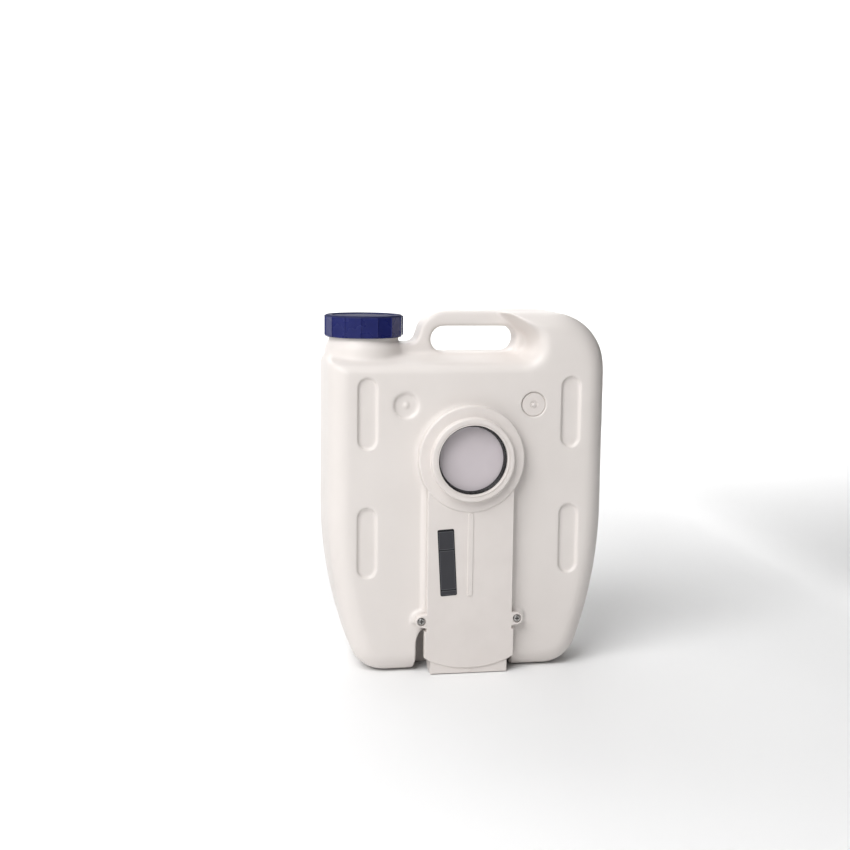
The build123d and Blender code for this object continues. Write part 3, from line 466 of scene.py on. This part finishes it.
def make_tank():
    """Tank shell rebuilt as an even mesh, softened, detailed and thinned out again."""
    shell = frame["nodes"]["tank_shell"].data.copy()
    mesh = applied(shell, "REMESH", mode="VOXEL", voxel_size=VOXEL)
    points = read_points(mesh)
    edges = np.empty(len(mesh.edges) * 2, np.int32)
    mesh.edges.foreach_get("vertices", edges)
    edges = edges.reshape(-1, 2)
    factor = 2 * blur_widths(points) ** 2 / (RELAX_ROUNDS * VOXEL**2)
    factor = np.minimum(factor, MOST_BLUR_FACTOR)
    write_points(mesh, relax(points, edges, factor, RELAX_ROUNDS))
    write_points(mesh, raise_details(mesh, read_points(mesh)))
    mesh = applied(mesh, "DECIMATE", ratio=TANK_TRIANGLES / (2 * len(mesh.polygons)))
    tank = add_piece("tank_body", mesh, "tank", "tank_plastic")
    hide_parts("tank_shell")


# --- Threads of the neck and the cap ---------------------------------------------------------
THREAD_LEAD = 8.0 * MM
THREAD_TURNS = 1.6
THREAD_STEPS = 96
THREAD_START = 0.3
# millimetres about the neck's axis
NECK_BORE = 38.85
NECK_OUTSIDE = 42.15
NECK_SLEEVE_LOW = 399.5
RIM_LIFT = 0.1


def lathe(name, profile, steps=128):
    """Closed ring about the neck's axis from a closed outline of (radius, height)."""
    count = len(profile)
    points = []
    faces = []
    for step in range(steps):
        angle = 2 * pi * step / steps
        points += [(NECK_X + r * cos(angle), NECK_Y + r * sin(angle), z) for r, z in profile]
        ahead = (step + 1) % steps
        for i in range(count):
            j = (i + 1) % count
            faces.append((step * count + i, ahead * count + i, ahead * count + j, step * count + j))
    mesh = bpy.data.meshes.new(name)
    mesh.from_pydata(points, [], faces)
    return mesh


def thread(name, root, crest, low):
    """One right-hand thread ridge about the neck's axis, fading in and out at its ends."""
    total = int(THREAD_STEPS * THREAD_TURNS)
    points = []
    faces = []
    for step in range(total + 1):
        angle = THREAD_START + 2 * pi * step / THREAD_STEPS
        height = low + THREAD_LEAD * step / THREAD_STEPS
        ends = min(step, total - step) / (THREAD_STEPS / 8)
        tip = root + (crest - root) * min(0.15 + ends, 1.0)
        for r, z in ((root, -1.5), (tip, -0.5), (tip, 0.5), (root, 1.5)):
            points.append((NECK_X + r * cos(angle), NECK_Y + r * sin(angle), height + z * MM))
        if step < total:
            for i in range(4):
                j = (i + 1) % 4
                faces.append((4 * step + i, 4 * step + 4 + i, 4 * step + 4 + j, 4 * step + j))
    faces.append((3, 2, 1, 0))
    faces.append(tuple(4 * total + i for i in range(4)))
    mesh = bpy.data.meshes.new(name)
    mesh.from_pydata(points, [], faces)
    return mesh


def outward(mesh):
    """The mesh with every face turned to the outside."""
    work = bmesh.new()
    work.from_mesh(mesh)
    bmesh.ops.recalc_face_normals(work, faces=work.faces)
    work.to_mesh(mesh)
    work.free()
    return mesh


def make_threads():
    """Smooth sleeve on the neck with its thread outside, and the cap's thread inside the cap."""
    rim = NECK_TOP / MM + RIM_LIFT
    neck = [
        (NECK_BORE, rim),
        (NECK_BORE, NECK_SLEEVE_LOW),
        (NECK_OUTSIDE, NECK_SLEEVE_LOW),
        (NECK_OUTSIDE, rim),
    ]
    sleeve = lathe("neck_finish", [(r * MM, z * MM) for r, z in neck])
    add_piece("neck_finish", outward(sleeve), "tank", "tank_plastic").data.shade_flat()
    ridge = thread("neck_thread", 42.0 * MM, 43.6 * MM, 403.5 * MM)
    add_piece("neck_thread", outward(ridge), "tank", "tank_plastic").data.shade_flat()
    ridge = thread("cap_thread", 44.95 * MM, 43.0 * MM, 407.5 * MM)
    add_piece("cap_thread", outward(ridge), "cap", "cap_plastic").data.shade_flat()


def make_vent_coil():
    """Return spring of the vent button, an own copy of the CAD spring that rides on the tank."""
    coil = add_piece("vent_coil", frame["nodes"]["vent_spring"].data.copy(), "tank", "steel")
    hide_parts("vent_spring")
    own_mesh(coil)


# --- Studio ---------------------------------------------------------------------------------
def make_backdrop():
    """Pale floor that curves up into a wall far behind the tank."""
    half, front, back, radius, top, curve_steps = 5.0, -4.0, 3.0, 1.5, 5.0, 16
    profile = [(front, 0.0), (back - radius, 0.0)]
    for step in range(1, curve_steps + 1):
        angle = radians(90 * step / curve_steps)
        profile.append((back - radius + radius * sin(angle), radius - radius * cos(angle)))
    profile.append((back, top))
    mesh = bpy.data.meshes.new("backdrop")
    points = [(side * half, y, z) for y, z in profile for side in (-1, 1)]
    faces = [(2 * i, 2 * i + 1, 2 * i + 3, 2 * i + 2) for i in range(len(profile) - 1)]
    mesh.from_pydata(points, [], faces)
    mesh.shade_smooth()
    backdrop = bpy.data.objects.new("backdrop", mesh)
    scene.collection.objects.link(backdrop)
    paint = Paint("backdrop", Roughness=0.8)
    tone = paint.remap(paint.noise(1.5, 2.0), 0.3, 0.7)
    pale = paint.blend(tone, (0.90, 0.90, 0.90, 1), (0.88, 0.88, 0.88, 1))
    mesh.materials.append(paint.finish(pale))


def area_light(name, place, aim, width, height, power):
    """White rectangular light turned towards its aim."""
    light = bpy.data.objects.new(name, bpy.data.lights.new(name, "AREA"))
    scene.collection.objects.link(light)
    light.data.shape = "RECTANGLE"
    light.data.size = width
    light.data.size_y = height
    light.data.energy = power
    light.location = place
    light.rotation_euler = (Vector(aim) - Vector(place)).to_track_quat("-Z", "Y").to_euler()


def make_world():
    """Soft surrounding light that falls away towards the right."""
    world = bpy.data.worlds.new("studio")
    scene.world = world
    world.use_nodes = True
    tree = world.node_tree
    place = tree.nodes.new("ShaderNodeTexCoord")
    split = tree.nodes.new("ShaderNodeSeparateXYZ")
    ramp = tree.nodes.new("ShaderNodeMapRange")
    ends = {"From Min": -1.0, "From Max": 0.8, "To Min": 0.42, "To Max": 0.07}
    for name, number in ends.items():
        ramp.inputs[name].default_value = number
    tree.links.new(place.outputs["Generated"], split.inputs[0])
    tree.links.new(split.outputs["X"], ramp.inputs["Value"])
    tree.links.new(ramp.outputs["Result"], tree.nodes["Background"].inputs["Strength"])
    tree.nodes["Background"].inputs["Color"].default_value = (1.0, 1.0, 1.0, 1)


def make_flag():
    """Black board beside the tank that keeps light off its right side, out of the camera's sight."""
    mesh = bpy.data.meshes.new("flag")
    x, front, back, low, high = 0.62, -0.9, 1.4, 0.22, 1.1
    corners = ((x, front, low), (x, back, low), (x, back, high), (x, front, high))
    mesh.from_pydata(corners, [], [(0, 3, 2, 1)])
    flag = bpy.data.objects.new("flag", mesh)
    scene.collection.objects.link(flag)
    flag.visible_camera = False
    flag.visible_shadow = False
    paint = Paint("flag", Roughness=0.9)
    cloth = paint.blend(paint.noise(8.0), (0.012, 0.012, 0.012, 1), (0.02, 0.02, 0.02, 1))
    mesh.materials.append(paint.finish(cloth))


def make_studio():
    """Backdrop, side board and soft lights from the left, from above and on the backdrop."""
    make_backdrop()
    make_flag()
    make_world()
    middle = (0, 0, 0.22)
    area_light("key", (-1.2, -1.4, 2.0), middle, 1.7, 1.7, 60)
    area_light("top", (0.0, 0.1, 2.7), middle, 2.0, 2.0, 9)
    area_light("back", (0, 1.2, 3.0), (0, 2.9, 2.5), 4.0, 1.2, 150)
    scene.view_settings.view_transform = "Standard"


dress_cad_nodes()
make_tank()
make_threads()
make_vent_coil()
make_studio()
